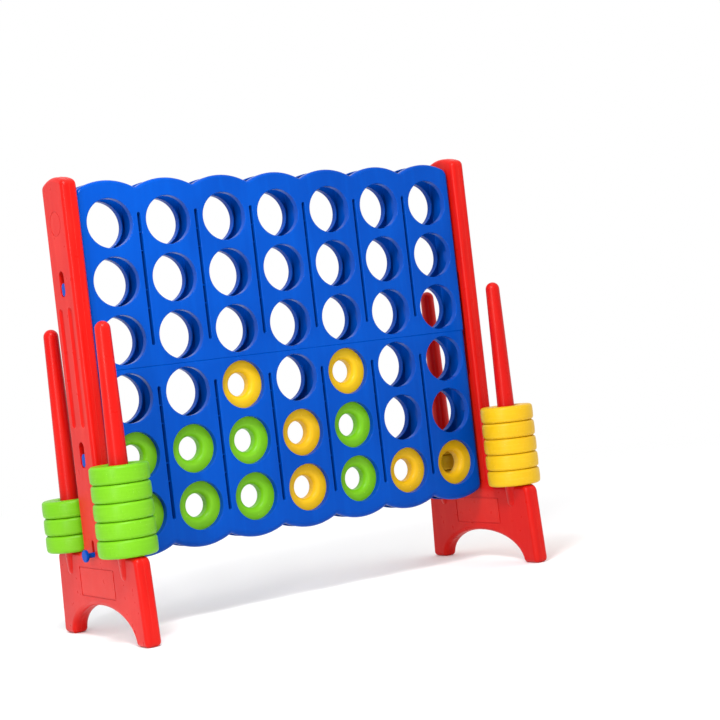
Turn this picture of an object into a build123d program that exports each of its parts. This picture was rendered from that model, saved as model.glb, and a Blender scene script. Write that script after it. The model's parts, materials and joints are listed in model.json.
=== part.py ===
from build123d import *
from math import sqrt
import os

# Giant four-in-a-row lawn game: two side frames with ring posts hold a board made of an
# upper and a lower half.  Rings drop into seven columns and rest on two bottom sliders.
# Millimetres.  The origin is on the floor under the middle of the board; +X runs along
# the board, +Y points to its rear face and +Z is up.

# Playing grid
column_count = 7
row_count = 6
column_pitch = 152.0
row_pitch = 137.0
seam_height = 617.0              # where the two board halves meet

# Rings
ring_outer_radius = 68.2
ring_hole_radius = 28.5
ring_thickness = 41.0
ring_outer_round = 8.0
ring_hole_round = 14.0
ring_crown = 1.4                 # how far the outer side bulges
rest_gap = 0.3                   # between pieces that rest on each other but can part
column_stacks = ["gg", "gg", "ggy", "yy", "ggy", "y", "y"]
post_stacks = {"left_front": "ggggg", "left_rear": "ggg", "right_front": "yyyyy", "right_rear": "yyy"}
colour_names = {"g": "green", "y": "yellow"}

# Board halves
board_half_width = 532.0
board_half_depth = 40.0
skin = 3.0
window_radius = 58.3
collar_wall = 2.5
window_lip_round = 2.0
collar_lip_round = 1.0
channel_half_depth = 22.0        # half the gap that the rings slide in
divider_thickness = 12.0
bridge_height = 22.0             # part of each upper divider that joins the shells at the top
web_thickness = 16.0             # left between a divider's front and rear grooves
rib_offsets = (25.0, 68.5)       # heights of the groove ribs from the middle of each ring
pin_radius = 3.0
pin_half_length = 15.0
pin_offset = 20.0
groove_width = 8.0
groove_start = 49.0              # distance of each groove's ends from the seam
groove_end = 364.0
upper_peak = 443.8               # scallop heights, measured from the seam
upper_valley = 423.5
lower_peak = 440.8
lower_valley = 421.0
board_corner_round = 22.0
scallop_valley_round = 12.0
seam_groove = 1.4                # depth of the V along the seam, measured on each half
upper_edge_round = 8.0
lower_edge_round = 14.0

# Side frames
post_inner_x = 536.6
post_outer_x = 576.0
post_half_width = 60.0
post_height = 1076.0
post_crown = 14.0                # rise of the arched top
shoulder_height = 202.0
shoulder_half_width = 216.0
foot_half_width = 228.0
leg_width = 57.0
arch_height = 80.0
frame_edge_round = 11.0

# Ring posts
ring_post_y = 147.0
ring_post_top = 732.0
ring_post_base_radius = 25.0
ring_post_tip_radius = 18.0
socket_depth = 52.0
plug_top_radius = 22.6
plug_end_radius = 17.6
boss_radius = 27.0
boss_end_radius = 24.0
boss_drop = 42.0

# Hooked pegs and their keyholes
peg_offset = 198.5               # height of each peg above or below the seam
peg_head_width = 22.0
peg_head_height = 32.0
peg_neck_width = 16.0
peg_neck_height = 24.0
peg_ledge_x = 552.0              # where neck and head meet
peg_end_x = 574.5
peg_plate_thickness = 3.0
lift = 27.0                      # how far the board rises to free the pegs
slide_clearance = 0.4

# Bottom sliders
finger_width = 8.0
slider_thickness = 4.6
slider_bar_inner_y = 23.5
slider_bar_outer_y = 32.0
finger_reach = 20.0
passage_clearance = 0.6
shaft_radius = 6.0
shaft_end_x = 593.0
knob_radius = 14.5
knob_thickness = 8.0
spigot_radius = 3.5
spigot_length = 5.0
left_slider_columns = [0, 1, 2, 3]

# Values worked out from the above
post_mid_x = (post_inner_x + post_outer_x) / 2
post_thickness = post_outer_x - post_inner_x
column_x = [(i - (column_count - 1) / 2) * column_pitch for i in range(column_count)]
divider_x = [x + column_pitch / 2 for x in column_x[:-1]]
half_rows = [(i + 0.5) * row_pitch for i in range(row_count // 2)]
channel_half_width = (column_pitch - divider_thickness) / 2
bottom_row_height = seam_height - half_rows[-1]
slider_top = bottom_row_height - ring_outer_radius - rest_gap
shaft_height = slider_top - shaft_radius


def facing_x(x, height=0.0):
    """Drawing plane across the board at the given x: local x is +Y and local y is +Z."""
    return Plane(origin=(x, 0, height), x_dir=(0, 1, 0), z_dir=(1, 0, 0))


def scalloped_outline(peak, valley, inset, start):
    """Board half seen from the front, from local y = start up to its scallops; the seam is y = 0."""
    half = board_half_width - inset
    edges = [(x - column_pitch / 2, x, x + column_pitch / 2) for x in column_x]
    arcs = []
    for left, middle, right in edges:
        left, right = max(left, -half), min(right, half)
        foot, crest, end = (left, valley - inset), (middle, peak - inset), (right, valley - inset)
        arcs += ThreePointArc(foot, crest, end).edges()
    top_left, top_right = (-half, valley - inset), (half, valley - inset)
    arcs += Polyline(top_right, (half, start), (-half, start), top_left).edges()
    outline = make_face(arcs)
    on_top = outline.vertices().filter_by(lambda v: v.Y > valley - inset - 1)
    outline = fillet(on_top.filter_by(lambda v: abs(v.X) < half - 1), scallop_valley_round)
    corners = outline.vertices().filter_by(lambda v: abs(v.X) > half - 1 and v.Y > valley - inset - 1)
    return fillet(corners, board_corner_round - inset)


def rounded_slab(outline, depth, edge_round, start):
    """Outline pulled out to its depth, with its face's border rounded except at its start."""
    slab = extrude(outline, depth)
    border = slab.faces().sort_by(Axis.Z)[-1].outer_wire().edges()
    border = border.filter_by(lambda e: e.center().Y > start + 0.01)
    return fillet(border, edge_round)


def open_tray(peak, valley, edge_round):
    """Face and border of a board half on one side of the columns, without its openings."""
    slab = rounded_slab(scalloped_outline(peak, valley, 0, 0), board_half_depth, edge_round, 0)
    core = rounded_slab(scalloped_outline(peak, valley, skin, -skin), board_half_depth - skin,
                        edge_round - skin, -skin)
    return slab - core - Box(3 * board_half_width, 3 * peak, 2 * channel_half_depth)


def with_windows(shell):
    """Adds a collar behind each window, then cuts the windows and the long grooves."""
    centres = [(x, y) for x in column_x for y in half_rows]
    collar_depth = board_half_depth - skin - channel_half_depth
    collar = extrude(Circle(window_radius + collar_wall), collar_depth + 1)
    shell = shell + [Pos(x, y, channel_half_depth) * collar for x, y in centres]
    window = extrude(Circle(window_radius), board_half_depth + 1)
    shell = shell - [Pos(x, y, 0) * window for x, y in centres]
    groove = Rot(0, 0, 90) * SlotOverall(groove_end - groove_start, groove_width)
    groove_middle = (groove_start + groove_end) / 2
    return shell - [Pos(x, groove_middle, 0) * extrude(groove, board_half_depth + 1) for x in divider_x]


def with_rounded_lips(shell):
    """Rounds the openings' edges on the face, and the ends of the collars."""
    face_edges = shell.faces().filter_by(Axis.Z).sort_by(Axis.Z)[-1].inner_wires().edges()
    shell = fillet(face_edges, window_lip_round)
    collar_ends = shell.edges().filter_by(GeomType.CIRCLE)
    collar_ends = collar_ends.filter_by(lambda e: abs(e.center().Z - channel_half_depth) < 0.01
                                        and abs(e.radius - window_radius) < 0.01)
    return fillet(collar_ends, collar_lip_round)


def half_shell(peak, valley, edge_round):
    """Front shell of a board half.  Local x is along the board, y up from the seam, z outwards."""
    shell = with_rounded_lips(with_windows(open_tray(peak, valley, edge_round)))
    side = seam_groove * sqrt(2)
    return shell - Pos(0, 0, board_half_depth) * Rot(45, 0, 0) * Box(2 * board_half_width, side, side)


def end_walls(peak, valley, far_end):
    """Both ends of a board half, between its shells, with holes for the hooked pegs."""
    border = scalloped_outline(peak, valley, 0, 0) - scalloped_outline(peak, valley, skin, -skin)
    border = extrude(border, channel_half_depth, both=True)
    hole = Plane.YZ * extrude(SlotOverall(peg_neck_height, peg_neck_width), 2 * skin, both=True)
    walls = []
    for side in (-1, 1):
        keep = Pos(side * board_half_width, far_end / 2, 0) * Box(4 * skin, far_end, 3 * channel_half_depth)
        wall = (border & keep) - Pos(side * board_half_width, peg_offset, 0) * hole
        walls.append(wall.solid())
    return Compound(walls)


def stand_up(local, depth_sign, height_sign):
    """Turns a front shell drawn flat into a front or rear shell of the upper or lower half."""
    shell = Rot(90, 0, 0) * local
    if depth_sign > 0:
        shell = mirror(shell, about=Plane.XZ)
    if height_sign < 0:
        shell = mirror(shell, about=Plane.XY)
    return Pos(0, 0, seam_height) * shell


def slider_passage():
    """Room that the two sliders need where they leave the lower half at its sides."""
    inner_x = board_half_width - 27
    length = board_half_width + 2 - inner_x
    height = slider_thickness + 2 * passage_clearance
    side = Box(length, 2 * slider_bar_outer_y + 4 * passage_clearance, height)
    side = Pos(inner_x + length / 2, 0, slider_top - slider_thickness / 2) * side
    bore = Rot(0, 90, 0) * extrude(Circle(shaft_radius + passage_clearance), length)
    bore = Pos(inner_x, 0, shaft_height) * bore
    passage = side + bore
    return [passage, mirror(passage, about=Plane.YZ)]


def top_bridge(height):
    """Part of an upper divider that closes the top between the shells, flush with the scallops."""
    middle = len(divider_x) // 2
    bridge = extrude(scalloped_outline(upper_peak, upper_valley, 0, 0), channel_half_depth, both=True)
    bridge = Pos(-divider_x[middle], 0, 0) * bridge
    bridge = bridge & Pos(0, height, 0) * Box(divider_thickness, bridge_height, 3 * channel_half_depth)
    return Rot(90, 0, 0) * bridge


def sunk_grooves(depth):
    """Long grooves in the front and rear of a divider, which leave a web between them."""
    groove = Rot(0, 0, 90) * SlotOverall(groove_end - groove_start, groove_width)
    cut = Rot(90, 0, 0) * extrude(groove, depth - web_thickness / 2)
    cut = Pos(0, -web_thickness / 2, (groove_start + groove_end) / 2) * cut
    return [cut, mirror(cut, about=Plane.XZ)]


def groove_ribs(depth, height_sign):
    """Small ribs across the grooves, at the same heights beside every ring."""
    ribs = []
    for row in half_rows:
        for below_centre in rib_offsets:
            height = row - height_sign * below_centre
            if groove_start + 10 < height < groove_end - 10:
                ribs += [Pos(0, side * (depth - 8), height) * Box(groove_width, 5, 3) for side in (-1, 1)]
    return ribs


def dividers(height_sign, far_end, edge_round):
    """Six walls between the columns of a board half, with holes for the joining pins."""
    depth = board_half_depth - skin
    wall = Pos(0, 0, far_end / 2) * Box(divider_thickness, 2 * depth, far_end)
    far_edges = wall.faces().sort_by(Axis.Z)[-1].edges().filter_by(Axis.X)
    wall = chamfer(far_edges, edge_round - skin)
    if height_sign > 0:
        wall = wall + top_bridge(far_end)
    wall = wall - sunk_grooves(depth) + groove_ribs(depth, height_sign)
    pin_hole = extrude(Circle(pin_radius), pin_half_length, both=True)
    wall = wall - [Pos(0, side * pin_offset, 0) * pin_hole for side in (-1, 1)]
    if height_sign < 0:
        wall = mirror(wall, about=Plane.XY)
    return Compound([Pos(x, 0, seam_height) * wall.solid() for x in divider_x])


def joining_pins():
    """Twelve dowel pins that line the lower half up with the upper half."""
    pin = extrude(Circle(pin_radius), pin_half_length, both=True)
    pin = chamfer(pin.edges().filter_by(GeomType.CIRCLE), 0.8)
    places = [(x, side * pin_offset) for x in divider_x for side in (-1, 1)]
    return Compound([Pos(x, y, seam_height) * pin.solid() for x, y in places])


def side_outline():
    """Side frame seen along the board: a post on a wide foot that stands on two legs."""
    crown_start = post_height - post_crown
    crown_edge = (post_half_width, crown_start)
    half_crown = ThreePointArc(crown_edge, (0, post_height), (-post_half_width, crown_start))
    left = Polyline((-post_half_width, crown_start), (-post_half_width, shoulder_height),
                    (-shoulder_half_width, shoulder_height), (-foot_half_width, 0), (foot_half_width, 0),
                    (shoulder_half_width, shoulder_height), (post_half_width, shoulder_height),
                    (post_half_width, crown_start))
    outline = make_face(half_crown.edges() + left.edges())
    corners = outline.vertices()
    outline = fillet(corners.filter_by(lambda v: abs(v.Y - crown_start) < 1), 16)
    corners = outline.vertices()
    outline = fillet(corners.filter_by(lambda v: abs(v.Y - shoulder_height) < 1), 20)
    arch = Ellipse(foot_half_width - leg_width, arch_height)
    outline = outline - arch
    toes = outline.vertices().filter_by(lambda v: v.Y < 1)
    return fillet(toes, 12)


def keyhole(height):
    """Keyhole of one peg: a wide pill outside, a ledge inside, and an entry above the peg."""
    outer_height = peg_head_height + lift + 2
    outer = SlotOverall(outer_height, peg_head_width + 4)
    outer = Rot(0, 0, 90) * outer
    outer_depth = post_outer_x - peg_ledge_x + slide_clearance
    outer = extrude(Pos(0, lift / 2) * outer, outer_depth + 1)
    neck_height = peg_neck_height + lift + 2 * slide_clearance
    neck = Rot(0, 0, 90) * SlotOverall(neck_height, peg_neck_width + 2 * slide_clearance)
    neck = Pos(0, lift / 2) * neck
    entry_height = peg_head_height + 2 * slide_clearance
    entry = Rot(0, 0, 90) * SlotOverall(entry_height, peg_head_width + 2 * slide_clearance)
    entry = Pos(0, lift) * entry
    inner = extrude(neck + entry, -(peg_ledge_x - post_inner_x))
    start_x = peg_ledge_x - slide_clearance
    return facing_x(start_x, height) * (outer + inner)


def post_groove(face_x, direction, y):
    """Shallow round-bottomed groove pressed into a face of the post."""
    radius, depth = 14.6, 5.0
    low, high = 505.0, 764.0
    axis_x = face_x + direction * (radius - depth)
    body = Pos(axis_x, y, low) * extrude(Circle(radius), high - low)
    return body + Pos(axis_x, y, low) * Sphere(radius) + Pos(axis_x, y, high) * Sphere(radius)


def face_marks(face_x, direction):
    """Round mark near the top and blank label frame on the foot, both shallow lines."""
    plane = Plane(origin=(face_x, 0, 0), x_dir=(0, 1, 0), z_dir=(direction, 0, 0))
    mark = Circle(29) - Circle(27.6)
    mark = Pos(0, 969 * direction) * mark
    frame = RectangleRounded(188, 70, 4) - RectangleRounded(182, 64, 2)
    frame = Pos(0, 134 * direction) * frame
    return [plane * extrude(mark, -0.7), plane * extrude(frame, -1.4)]


def side_frame():
    """Right-hand side frame."""
    body = extrude(side_outline(), post_thickness)
    borders = body.faces().filter_by(Axis.Z)
    body = fillet(borders.edges(), frame_edge_round)
    body = facing_x(post_inner_x) * body
    for side in (-1, 1):
        base = Pos(post_mid_x, side * ring_post_y, shoulder_height)
        boss = Rot(180, 0, 0) * Cone(boss_radius, boss_end_radius, boss_drop,
                                     align=(Align.CENTER, Align.CENTER, Align.MIN))
        body = body + base * (boss + Pos(0, 0, -boss_drop) * Sphere(boss_end_radius))
        socket = Rot(180, 0, 0) * Cone(plug_top_radius, plug_end_radius, socket_depth,
                                       align=(Align.CENTER, Align.CENTER, Align.MIN))
        body = body - base * socket
    for height in (seam_height + peg_offset, seam_height - peg_offset):
        body = body - keyhole(height)
    slot_height = lift + 2 * shaft_radius + 2 * slide_clearance
    slot = Rot(0, 0, 90) * SlotOverall(slot_height, 2 * (shaft_radius + slide_clearance))
    slot_place = facing_x(post_inner_x - 1, shaft_height + lift / 2)
    body = body - slot_place * extrude(slot, post_thickness + 2)
    for face_x, direction in ((post_inner_x, -1), (post_outer_x, 1)):
        for y in (-25, 25):
            body = body - post_groove(face_x, direction, y)
        for mark in face_marks(face_x, direction):
            body = body - mark
    return body


def ring_post():
    """Tapered post for spare rings, with a round tip and a plug for its socket."""
    tip_height = ring_post_top - ring_post_tip_radius
    plug_end = shoulder_height - socket_depth
    outline = Polyline((0, tip_height), (0, plug_end), (plug_end_radius, plug_end),
                       (plug_top_radius, shoulder_height), (ring_post_base_radius, shoulder_height),
                       (ring_post_tip_radius, tip_height))
    stem = revolve(Plane.XZ * make_face(outline.edges() + Line((ring_post_tip_radius, tip_height),
                                                              (0, tip_height)).edges()), Axis.Z)
    return stem + Pos(0, 0, tip_height) * Sphere(ring_post_tip_radius)


def hooked_peg():
    """Peg of the board's right-hand side: inner plate, neck and head."""
    pill = Rot(0, 0, 90) * SlotOverall(peg_neck_height, peg_neck_width)
    head = Rot(0, 0, 90) * SlotOverall(peg_head_height, peg_head_width)
    inner_x = board_half_width - skin - peg_plate_thickness
    plate = extrude(head, peg_plate_thickness)
    neck = extrude(pill, peg_ledge_x - inner_x)
    hook = Pos(0, 0, peg_ledge_x - inner_x) * extrude(head, peg_end_x - peg_ledge_x)
    hook = fillet(hook.faces().sort_by(Axis.Z)[-1].edges(), 3)
    return facing_x(inner_x) * (plate + neck + hook)


def slider(columns):
    """Comb for the given columns of the right-hand side, with its pull shaft."""
    low_x = column_x[columns[0]] - finger_width / 2
    high_x = column_x[columns[-1]] + finger_width / 2
    middle_z = slider_top - slider_thickness / 2
    bar_width = slider_bar_outer_y - slider_bar_inner_y
    bar_y = (slider_bar_outer_y + slider_bar_inner_y) / 2
    comb = Pos((low_x + high_x) / 2, bar_y, middle_z) * Box(high_x - low_x, bar_width, slider_thickness)
    finger_length = slider_bar_outer_y + finger_reach
    finger_y = (slider_bar_outer_y - finger_reach) / 2
    finger = Box(finger_width, finger_length, slider_thickness)
    for column in columns:
        comb = comb + Pos(column_x[column], finger_y, middle_z) * finger
    shaft = Rot(0, 90, 0) * extrude(Circle(shaft_radius), shaft_end_x - column_x[columns[-1]])
    comb = comb + Pos(column_x[columns[-1]], 0, shaft_height) * shaft
    spigot = Rot(0, 90, 0) * extrude(Circle(spigot_radius), spigot_length)
    return comb + Pos(shaft_end_x, 0, shaft_height) * spigot


def pull_knob():
    """Round button on the end of the right-hand slider's shaft."""
    knob = extrude(Circle(knob_radius), knob_thickness)
    knob = fillet(knob.edges(), 2.5)
    knob = knob - extrude(Circle(spigot_radius), spigot_length)
    return Pos(shaft_end_x, 0, shaft_height) * Rot(0, 90, 0) * knob


def ring():
    """Game ring, lying flat on the plane z = 0 around the z axis."""
    middle = (ring_outer_radius + ring_hole_radius) / 2
    edge_x = ring_outer_radius - ring_crown
    side = ThreePointArc((edge_x, ring_thickness), (ring_outer_radius, ring_thickness / 2), (edge_x, 0))
    border = Polyline((edge_x, 0), (ring_hole_radius, 0), (ring_hole_radius, ring_thickness),
                      (edge_x, ring_thickness))
    section = make_face(side.edges() + border.edges())
    section = fillet(section.vertices().filter_by(lambda v: v.X < middle), ring_hole_round)
    section = fillet(section.vertices().filter_by(lambda v: v.X > edge_x - 1), ring_outer_round)
    return revolve(Plane.XZ * section, Axis.Z)


def board_parts():
    parts = {}
    upper = half_shell(upper_peak, upper_valley, upper_edge_round)
    lower = half_shell(lower_peak, lower_valley, lower_edge_round)
    parts["upper_front_shell"] = stand_up(upper, -1, 1)
    parts["upper_rear_shell"] = stand_up(upper, 1, 1)
    parts["lower_front_shell"] = stand_up(lower, -1, -1) - slider_passage()
    parts["lower_rear_shell"] = stand_up(lower, 1, -1) - slider_passage()
    parts["upper_end_walls"] = stand_up(end_walls(upper_peak, upper_valley, upper_peak), -1, 1)
    above_sliders = seam_height - slider_top - passage_clearance
    parts["lower_end_walls"] = stand_up(end_walls(lower_peak, lower_valley, above_sliders), -1, -1)
    parts["upper_dividers"] = dividers(1, upper_valley - skin - 2, upper_edge_round)
    parts["lower_dividers"] = dividers(-1, seam_height - slider_top - 0.5, lower_edge_round)
    parts["joining_pins"] = joining_pins()
    return parts


def paired_parts():
    """Pieces that come in a right-hand and a mirrored left-hand version."""
    right = {"side_frame": side_frame()}
    for place, y in (("front", -ring_post_y), ("rear", ring_post_y)):
        right[place + "_ring_post"] = Pos(post_mid_x, y, 0) * ring_post()
    for place, offset in (("upper", peg_offset), ("lower", -peg_offset)):
        right[place + "_peg"] = Pos(0, 0, seam_height + offset) * hooked_peg()
    right["pull_knob"] = pull_knob()
    parts = {"right_" + name: piece for name, piece in right.items()}
    parts.update({"left_" + name: mirror(piece, about=Plane.YZ) for name, piece in right.items()})
    right_columns = [i for i in range(column_count) if i not in left_slider_columns]
    mirrored_columns = [column_count - 1 - i for i in reversed(left_slider_columns)]
    parts["right_slider"] = slider(right_columns)
    parts["left_slider"] = mirror(slider(mirrored_columns), about=Plane.YZ)
    return parts


def ring_parts():
    """Rings standing in the columns and rings stacked on the four ring posts."""
    parts = {}
    flat = ring()
    upright = Rot(90, 0, 0) * (Pos(0, 0, -ring_thickness / 2) * flat)
    for column, stack in enumerate(column_stacks):
        for level, colour in enumerate(stack):
            name = f"column_{column + 1}_ring_{level + 1}_{colour_names[colour]}"
            parts[name] = Pos(column_x[column], 0, bottom_row_height + level * row_pitch) * upright
    for place, stack in post_stacks.items():
        x = post_mid_x if place.startswith("right") else -post_mid_x
        y = -ring_post_y if place.endswith("front") else ring_post_y
        for level, colour in enumerate(stack):
            name = f"{place}_ring_{level + 1}_{colour_names[colour]}"
            z = shoulder_height + rest_gap + level * (ring_thickness + rest_gap)
            parts[name] = Pos(x, y, z) * flat
    return parts


os.makedirs("parts", exist_ok=True)
for node, piece in {**board_parts(), **paired_parts(), **ring_parts()}.items():
    export_step(piece, f"parts/{node}.step")
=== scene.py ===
"""Looks of the giant four in a row: moulded plastics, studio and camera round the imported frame.

Metres.  The origin is on the floor under the middle of the board; +X runs along the board,
+Y points to its rear face and +Z is up.
"""
import json
import math
import bmesh
import bpy
from mathutils import Matrix, Vector


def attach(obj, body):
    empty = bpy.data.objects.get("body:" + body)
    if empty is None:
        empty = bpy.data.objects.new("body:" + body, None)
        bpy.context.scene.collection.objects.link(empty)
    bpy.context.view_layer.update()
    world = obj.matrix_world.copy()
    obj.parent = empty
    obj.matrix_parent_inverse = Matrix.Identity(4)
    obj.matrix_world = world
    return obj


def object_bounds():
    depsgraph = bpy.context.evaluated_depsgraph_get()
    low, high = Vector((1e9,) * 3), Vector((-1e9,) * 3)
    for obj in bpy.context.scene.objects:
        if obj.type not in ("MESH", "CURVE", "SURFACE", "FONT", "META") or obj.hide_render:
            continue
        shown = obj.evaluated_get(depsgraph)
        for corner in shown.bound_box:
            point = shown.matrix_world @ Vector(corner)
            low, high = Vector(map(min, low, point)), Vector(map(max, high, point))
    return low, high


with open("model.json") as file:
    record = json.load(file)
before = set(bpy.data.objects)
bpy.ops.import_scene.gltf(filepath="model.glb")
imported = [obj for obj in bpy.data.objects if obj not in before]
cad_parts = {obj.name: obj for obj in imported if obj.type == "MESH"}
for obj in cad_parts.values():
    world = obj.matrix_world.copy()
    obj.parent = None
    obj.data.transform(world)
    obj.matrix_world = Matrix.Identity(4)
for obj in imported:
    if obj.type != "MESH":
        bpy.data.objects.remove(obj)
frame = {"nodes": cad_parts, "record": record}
cad_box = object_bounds()

# Camera, in the photograph's viewing direction
CAMERA_PLACE = (-2.149, -3.598, 0.626)
CAMERA_AZIMUTH = 33.33      # degrees from +Y towards +X
CAMERA_ELEVATION = -0.73
CAMERA_ROLL = -6.60
LENS = 83.8                 # mm on a 36 mm sensor

# Studio
WORLD_STRENGTH = 1.0
FLOOR_SIZE = 60.0
FLOOR_TONE = (0.93, 0.93, 0.93, 1)
FLOOR_FADE = (1.6, 4.0)     # metres from the middle of the board

# Surface detail: a scale is in cycles per metre, a range is where a noise starts and ends to show
PLASTIC_IOR = 1.5
TONE_SCALE = 4.0
TONE_RANGE = (0.35, 0.65)
ALONG_Z = (60, 60, 5)       # how finely the flow streaks vary along each axis
AROUND_Z = (14, 14, 420)
AROUND_Y = (14, 420, 14)
FLOW_RANGE = (0.50, 0.80)
FLOW_TINT = 0.16
SCRATCH_STRETCH = (900, 700, 18)
SCRATCH_RANGE = (0.62, 0.75)
PATCH_SCALE = 9.0
PATCH_RANGE = (0.52, 0.70)
SCUFF_TINT = 0.10
# Painted highlight: convex edges, found by the mesh's pointiness, are tinted towards the pale tone
EDGE_HIGHLIGHT_RANGE = (0.51, 0.58)   # of the mesh's pointiness
EDGE_HIGHLIGHT_TINT = 0.15
GRAIN_SCALE = 900.0
WAVE_SCALE = 45.0
WAVE_RANGE = (0.3, 0.7)
SPECKLE_SCALE = 115.0
SPECKLE_RADIUS = (0.09, 0.16)
SPECKLE_GROUP_SCALE = 50.0
SPECKLE_GROUP_RANGE = (0.52, 0.56)
SPECKLE_TINT = 0.45
RING_ROUGHNESS = 0.38
RING_SPECULAR = 0.20

# Side frames, as in the CAD model
POST_MIDDLE = 0.5563
POST_HOLE_HALF_WIDTH = 0.025
POST_HOLE_HEIGHTS = (0.15, 1.05)
RING_POST_Y = 0.147
SOCKET_HALF_WIDTH = 0.027
SHOULDER = 0.202
SOCKET_FLOOR = 0.145
BEAD_RADIUS = 0.0006


# ---------------------------------------------------------------- node helpers

def new_material(name):
    material = bpy.data.materials.new(name)
    material.use_nodes = True
    tree = material.node_tree
    tree.nodes.clear()
    output = tree.nodes.new("ShaderNodeOutputMaterial")
    shader = tree.nodes.new("ShaderNodeBsdfPrincipled")
    tree.links.new(shader.outputs["BSDF"], output.inputs["Surface"])
    return material, tree, shader


def noise(tree, vector, scale, detail=3.0, roughness=0.5):
    node = tree.nodes.new("ShaderNodeTexNoise")
    node.inputs["Scale"].default_value = scale
    node.inputs["Detail"].default_value = detail
    node.inputs["Roughness"].default_value = roughness
    tree.links.new(vector, node.inputs["Vector"])
    return node.outputs["Fac"]


def stretched(tree, vector, scale):
    node = tree.nodes.new("ShaderNodeMapping")
    node.inputs["Scale"].default_value = scale
    tree.links.new(vector, node.inputs["Vector"])
    return node.outputs["Vector"]


def ramp(tree, value, low, high, low_colour, high_colour):
    node = tree.nodes.new("ShaderNodeValToRGB")
    node.color_ramp.elements[0].position = low
    node.color_ramp.elements[0].color = (*low_colour, 1)
    node.color_ramp.elements[1].position = high
    node.color_ramp.elements[1].color = (*high_colour, 1)
    tree.links.new(value, node.inputs["Fac"])
    return node.outputs["Color"]


def remap(tree, value, low, high, to_low, to_high):
    node = tree.nodes.new("ShaderNodeMapRange")
    for socket, number in (("From Min", low), ("From Max", high), ("To Min", to_low), ("To Max", to_high)):
        node.inputs[socket].default_value = number
    tree.links.new(value, node.inputs["Value"])
    return node.outputs["Result"]


def multiply(tree, first, second):
    node = tree.nodes.new("ShaderNodeMath")
    node.operation = "MULTIPLY"
    tree.links.new(first, node.inputs[0])
    tree.links.new(second, node.inputs[1])
    return node.outputs[0]


def mix_colour(tree, factor, first, second):
    node = tree.nodes.new("ShaderNodeMix")
    node.data_type = "RGBA"
    for socket, value in ((node.inputs[0], factor), (node.inputs[6], first), (node.inputs[7], second)):
        if isinstance(value, bpy.types.NodeSocket):
            tree.links.new(value, socket)
        else:
            socket.default_value = value
    return node.outputs[2]


def bump(tree, height, distance, strength, before=None):
    node = tree.nodes.new("ShaderNodeBump")
    node.inputs["Distance"].default_value = distance
    node.inputs["Strength"].default_value = strength
    tree.links.new(height, node.inputs["Height"])
    if before is not None:
        tree.links.new(before, node.inputs["Normal"])
    return node.outputs["Normal"]


# ---------------------------------------------------------------- materials

def moulded_plastic(name, colour, deep, pale, roughness, specular, streaks, speckle=False):
    """Satin polyethylene: soft tone changes, orange peel, fine flow streaks, light scuffs and a painted
    highlight along convex edges.
    """
    material, tree, shader = new_material(name)
    place = tree.nodes.new("ShaderNodeTexCoord").outputs["Object"]
    body = ramp(tree, noise(tree, place, TONE_SCALE, 2.0), *TONE_RANGE, deep, colour)
    flow = noise(tree, stretched(tree, place, streaks), 1.0, 4.0, 0.6)
    body = mix_colour(tree, remap(tree, flow, *FLOW_RANGE, 0.0, FLOW_TINT), body, (*pale, 1))
    scratches = noise(tree, stretched(tree, place, SCRATCH_STRETCH), 1.0, 2.0, 0.7)
    scuffed = remap(tree, scratches, *SCRATCH_RANGE, 0.0, 1.0)
    patches = remap(tree, noise(tree, place, PATCH_SCALE, 3.0), *PATCH_RANGE, 0.0, 1.0)
    scuffs = multiply(tree, scuffed, patches)
    body = mix_colour(tree, remap(tree, scuffs, 0.0, 1.0, 0.0, SCUFF_TINT), body, (*pale, 1))
    # Painted highlight: convex edges are lightened towards the pale tone
    geometry = tree.nodes.new("ShaderNodeNewGeometry")
    painted_edge_highlight = remap(tree, geometry.outputs["Pointiness"], *EDGE_HIGHLIGHT_RANGE, 0.0, EDGE_HIGHLIGHT_TINT)
    body = mix_colour(tree, painted_edge_highlight, body, (*pale, 1))
    waves = noise(tree, place, WAVE_SCALE, 2.0)
    normal = bump(tree, noise(tree, place, GRAIN_SCALE, 2.0), 0.0002, 0.15)
    normal = bump(tree, waves, 0.0015, 0.06, normal)
    normal = bump(tree, flow, 0.0004, 0.12, normal)
    if speckle:
        pits = speckle_pits(tree, place)
        body = mix_colour(tree, remap(tree, pits, 0.0, 1.0, 0.0, SPECKLE_TINT), body, (*pale, 1))
        normal = bump(tree, pits, -0.0008, 0.6, normal)
    rough = remap(tree, waves, *WAVE_RANGE, roughness - 0.03, roughness + 0.05)
    tree.links.new(body, shader.inputs["Base Color"])
    tree.links.new(rough, shader.inputs["Roughness"])
    tree.links.new(normal, shader.inputs["Normal"])
    shader.inputs["IOR"].default_value = PLASTIC_IOR
    shader.inputs["Specular IOR Level"].default_value = specular
    return material


def speckle_pits(tree, place):
    """Loose groups of pin-sized pits, 1 inside a pit and 0 elsewhere."""
    cells = tree.nodes.new("ShaderNodeTexVoronoi")
    cells.inputs["Scale"].default_value = SPECKLE_SCALE
    tree.links.new(place, cells.inputs["Vector"])
    dots = remap(tree, cells.outputs["Distance"], *SPECKLE_RADIUS, 1.0, 0.0)
    groups = remap(tree, noise(tree, place, SPECKLE_GROUP_SCALE, 1.0), *SPECKLE_GROUP_RANGE, 0.0, 1.0)
    return multiply(tree, dots, groups)


def ring_plastic(name, colour, deep, pale, streaks):
    return moulded_plastic(name, colour, deep, pale, RING_ROUGHNESS, RING_SPECULAR, streaks, speckle=True)
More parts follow.
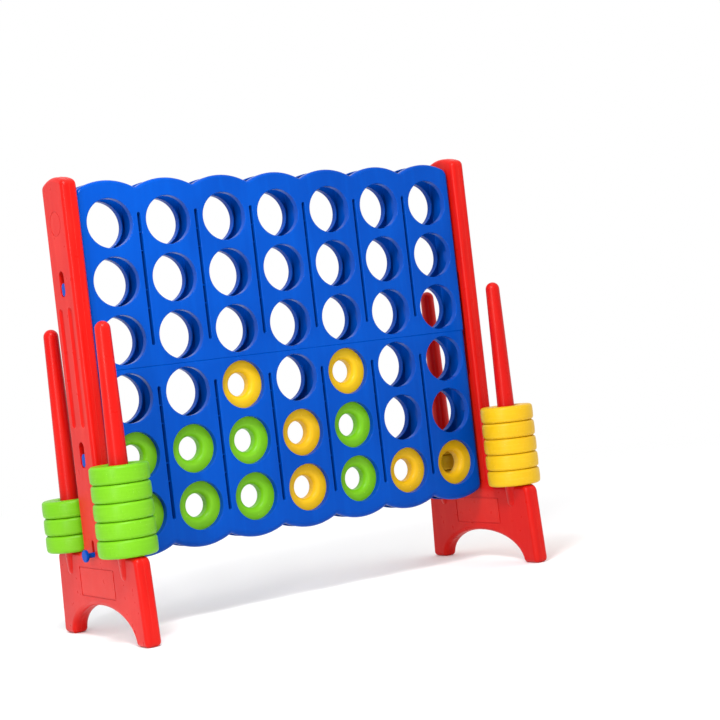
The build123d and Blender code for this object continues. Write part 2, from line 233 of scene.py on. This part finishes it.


# Each plastic's main colour, the deeper tone it drifts to and the pale tone of its streaks and of the
# painted highlight along its edges
GREEN = ((0.150, 0.430, 0.005), (0.115, 0.370, 0.003), (0.340, 0.690, 0.080))
YELLOW = ((0.660, 0.410, 0.003), (0.610, 0.340, 0.002), (0.92, 0.680, 0.120))
SLOT_MATERIALS = {
    "red_plastic": moulded_plastic("red_moulding", (0.54, 0.0045, 0.002), (0.48, 0.003, 0.0015),
                                   (0.72, 0.060, 0.035), 0.30, 0.14, ALONG_Z),
    "blue_plastic": moulded_plastic("blue_moulding", (0.0002, 0.056, 0.36), (0.0002, 0.046, 0.31),
                                    (0.001, 0.105, 0.56), 0.18, 0.06, ALONG_Z),
}
STACKED_MATERIALS = {
    "green_plastic": ring_plastic("green_stacked_ring", *GREEN, AROUND_Z),
    "yellow_plastic": ring_plastic("yellow_stacked_ring", *YELLOW, AROUND_Z),
}
UPRIGHT_MATERIALS = {
    "green_plastic": ring_plastic("green_upright_ring", *GREEN, AROUND_Y),
    "yellow_plastic": ring_plastic("yellow_upright_ring", *YELLOW, AROUND_Y),
}


def node_material(node_name, slot):
    if node_name.startswith("column_"):
        return UPRIGHT_MATERIALS[slot]
    return STACKED_MATERIALS.get(slot) or SLOT_MATERIALS[slot]


def paint_frame():
    """Gives every CAD node its finished material."""
    for part in frame["record"]["subparts"]:
        node = frame["nodes"][part["node"]]
        node.data.materials.clear()
        node.data.materials.append(node_material(part["node"], part["material_slot"]))


# ---------------------------------------------------------------- moulding lines

def on_outer_border(point):
    """False inside the keyholes, the shaft slot and the sockets of the ring posts."""
    low, high = POST_HOLE_HEIGHTS
    in_post_hole = abs(point.y) < POST_HOLE_HALF_WIDTH and low < point.z < high
    at_socket = abs(abs(point.y) - RING_POST_Y) < SOCKET_HALF_WIDTH
    in_socket = at_socket and SOCKET_FLOOR < point.z < SHOULDER - 0.0005
    return not in_post_hole and not in_socket


def moulding_line(side, node_name):
    """Thin bead where the two mould halves met, all round the border of a side frame."""
    source = frame["nodes"][node_name]
    section = bmesh.new()
    section.from_mesh(source.data)
    section.transform(source.matrix_world)
    middle = Vector((side * POST_MIDDLE, 0, 0))
    cut = bmesh.ops.bisect_plane(section, geom=section.verts[:] + section.edges[:] + section.faces[:],
                                 plane_co=middle, plane_no=(1, 0, 0))["geom_cut"]
    edges = [e for e in cut if isinstance(e, bmesh.types.BMEdge)]
    edges = [e for e in edges if all(on_outer_border(v.co) for v in e.verts)]
    low, high = (Vector(corner) for corner in cad_box)
    curve = bpy.data.curves.new(node_name + "_moulding_line", "CURVE")
    curve.dimensions = "3D"
    curve.bevel_depth = BEAD_RADIUS
    curve.bevel_resolution = 2
    for chain in chains(edges):
        spline = curve.splines.new("POLY")
        spline.points.add(len(chain) - 1)
        for point, vertex in zip(spline.points, chain):
            y = min(max(vertex.co.y, low.y + BEAD_RADIUS), high.y - BEAD_RADIUS)
            z = min(max(vertex.co.z, low.z + BEAD_RADIUS), high.z - BEAD_RADIUS)
            point.co = (vertex.co.x, y, z, 1)
    section.free()
    piece = bpy.data.objects.new(node_name + "_moulding_line", curve)
    bpy.context.scene.collection.objects.link(piece)
    curve.materials.append(SLOT_MATERIALS["red_plastic"])
    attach(piece, "stand")


def chains(edges):
    """Sorts loose edges into runs of vertices."""
    neighbours = {}
    for edge in edges:
        first, second = edge.verts
        neighbours.setdefault(first, []).append(second)
        neighbours.setdefault(second, []).append(first)
    unused = dict.fromkeys(sorted(neighbours, key=lambda v: (len(neighbours[v]) > 1, v.co.z, v.co.y)))
    runs = []
    while unused:
        vertex = next(iter(unused))
        run = []
        while vertex is not None:
            unused.pop(vertex)
            run.append(vertex)
            vertex = next((v for v in neighbours[vertex] if v in unused), None)
        if len(run) > 2 and run[0] in neighbours[run[-1]]:
            run.append(run[0])
        runs.append(run)
    return runs


# ---------------------------------------------------------------- studio

def floor():
    """Pale floor that melts into the white surroundings away from the object."""
    bpy.ops.mesh.primitive_plane_add(size=FLOOR_SIZE)
    plane = bpy.context.object
    plane.name = "studio_floor"
    material, tree, shader = new_material("floor_paper")
    shader.inputs["Base Color"].default_value = FLOOR_TONE
    shader.inputs["Roughness"].default_value = 0.9
    shader.inputs["Specular IOR Level"].default_value = 0.1
    place = tree.nodes.new("ShaderNodeTexCoord").outputs["Object"]
    distance = tree.nodes.new("ShaderNodeVectorMath")
    distance.operation = "LENGTH"
    tree.links.new(place, distance.inputs[0])
    glow = tree.nodes.new("ShaderNodeEmission")
    glow.inputs["Strength"].default_value = WORLD_STRENGTH
    blend = tree.nodes.new("ShaderNodeMixShader")
    tree.links.new(remap(tree, distance.outputs["Value"], *FLOOR_FADE, 0.0, 1.0), blend.inputs[0])
    tree.links.new(shader.outputs["BSDF"], blend.inputs[1])
    tree.links.new(glow.outputs["Emission"], blend.inputs[2])
    output = next(n for n in tree.nodes if n.type == "OUTPUT_MATERIAL")
    tree.links.new(blend.outputs["Shader"], output.inputs["Surface"])
    plane.data.materials.append(material)


def area_light(name, place, target, size, power):
    """White rectangular softbox that faces its target; power in watts."""
    data = bpy.data.lights.new(name, "AREA")
    data.shape = "RECTANGLE"
    data.size, data.size_y = size
    data.energy = power
    lamp = bpy.data.objects.new(name, data)
    lamp.location = place
    lamp.rotation_euler = (Vector(target) - Vector(place)).to_track_quat("-Z", "Y").to_euler()
    bpy.context.scene.collection.objects.link(lamp)


def studio():
    area_light("key_softbox", (-1.0, -1.2, 2.2), (-0.3, 0, 0.7), (0.6, 0.6), 44)
    area_light("side_strip", (-2.9, -1.9, 1.0), (-0.4, 0, 0.6), (0.3, 1.6), 36)
    area_light("top_light", (0.4, 0.2, 3.2), (0, 0, 0.55), (2.5, 1.5), 10)
    world = bpy.data.worlds.new("white_studio")
    world.use_nodes = True
    background = world.node_tree.nodes["Background"]
    background.inputs["Color"].default_value = (1, 1, 1, 1)
    background.inputs["Strength"].default_value = WORLD_STRENGTH
    bpy.context.scene.world = world
    bpy.context.scene.view_settings.view_transform = "Standard"


def camera():
    azimuth, elevation, roll = (math.radians(a) for a in (CAMERA_AZIMUTH, CAMERA_ELEVATION, CAMERA_ROLL))
    forward = Vector((math.sin(azimuth) * math.cos(elevation), math.cos(azimuth) * math.cos(elevation),
                      math.sin(elevation)))
    level = forward.cross(Vector((0, 0, 1))).normalized()
    above = level.cross(forward)
    right = level * math.cos(roll) + above * math.sin(roll)
    up = right.cross(forward)
    turn = Matrix((right, up, -forward)).transposed().to_4x4()
    data = bpy.data.cameras.new("camera")
    data.lens = LENS
    data.sensor_width = 36
    eye = bpy.data.objects.new("camera", data)
    eye.matrix_world = Matrix.Translation(CAMERA_PLACE) @ turn
    bpy.context.scene.collection.objects.link(eye)
    bpy.context.scene.camera = eye


# ---------------------------------------------------------------- the scene

paint_frame()
moulding_line(-1, "left_side_frame")
moulding_line(1, "right_side_frame")
floor()
studio()
camera()
